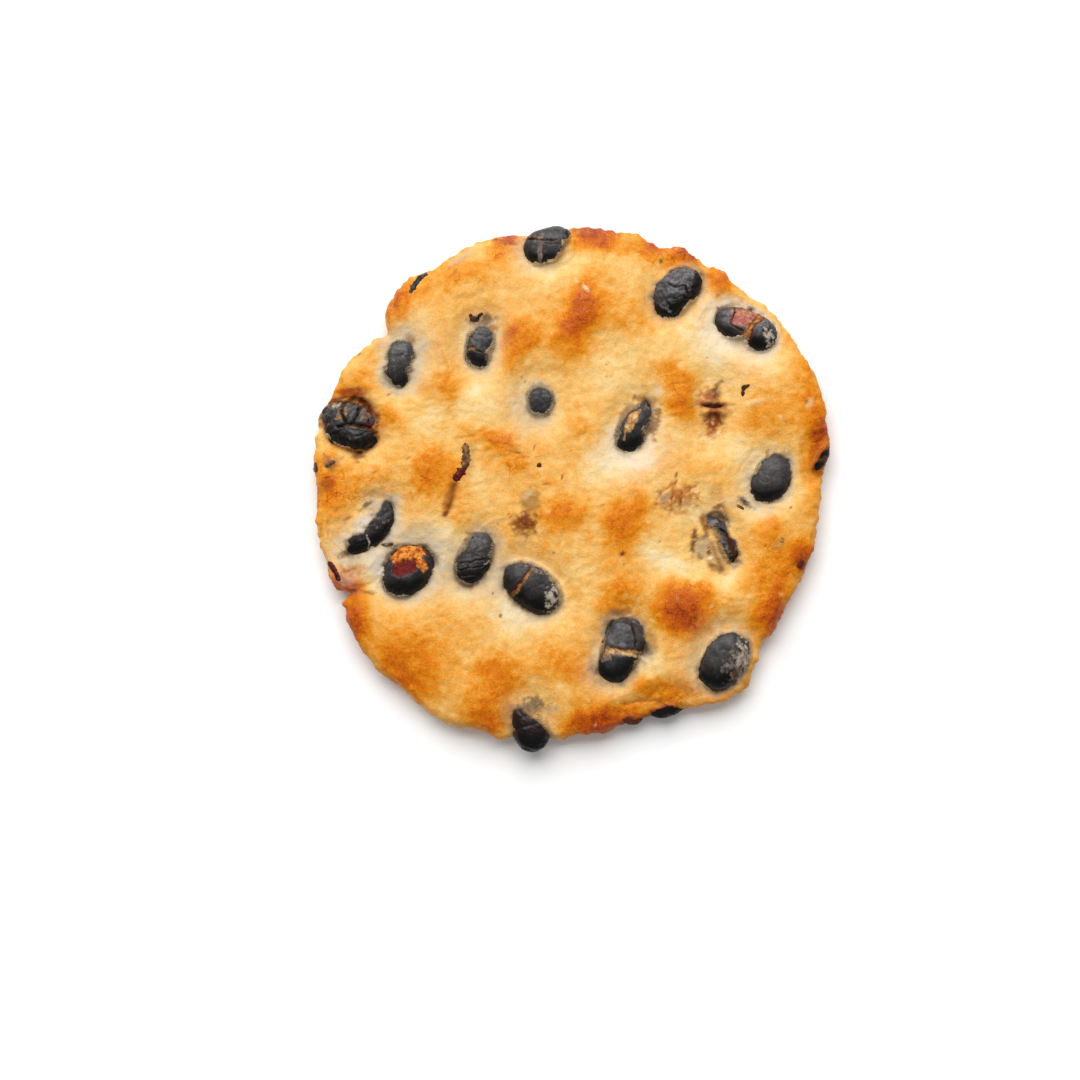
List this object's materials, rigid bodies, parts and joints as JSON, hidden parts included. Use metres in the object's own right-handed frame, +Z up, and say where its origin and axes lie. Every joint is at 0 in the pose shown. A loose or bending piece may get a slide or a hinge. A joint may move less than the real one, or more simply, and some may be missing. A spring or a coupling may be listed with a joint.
{
  "type": "japanese rice cracker with black soybeans",
  "caption": "Thin uneven round of puffed, oven-toasted rice dough with roasted black soybeans baked into it.",
  "frame": {"origin": "on the table, under the middle of the cracker's bounding box", "axes": "+Z up, out of the shown face, with the cracker lying flat; +Y towards the edge that was uppermost when it was held, +X to the right of it"},
  "size_m": [0.0829, 0.0844, 0.0063],
  "materials": {
    "crust": "toasted rice dough, satin, with darker toasted blisters",
    "bean_skin": "roasted black soybean skin, matt to satin, wrinkled and cracked"
  },
  "bodies": {
    "root": {"dough": "crust", "bean_01": "bean_skin", "bean_02": "bean_skin", "bean_03": "bean_skin", "bean_04": "bean_skin", "bean_05": "bean_skin", "bean_06": "bean_skin", "bean_07": "bean_skin", "bean_08": "bean_skin", "bean_09": "bean_skin", "bean_10": "bean_skin", "bean_11": "bean_skin", "bean_12": "bean_skin", "bean_13": "bean_skin", "bean_14": "bean_skin", "bean_15": "bean_skin", "bean_16": "bean_skin", "bean_17": "bean_skin", "bean_18": "bean_skin", "bean_19": "bean_skin", "bean_20": "bean_skin", "bean_21": "bean_skin"}
  },
  "joints": []
}
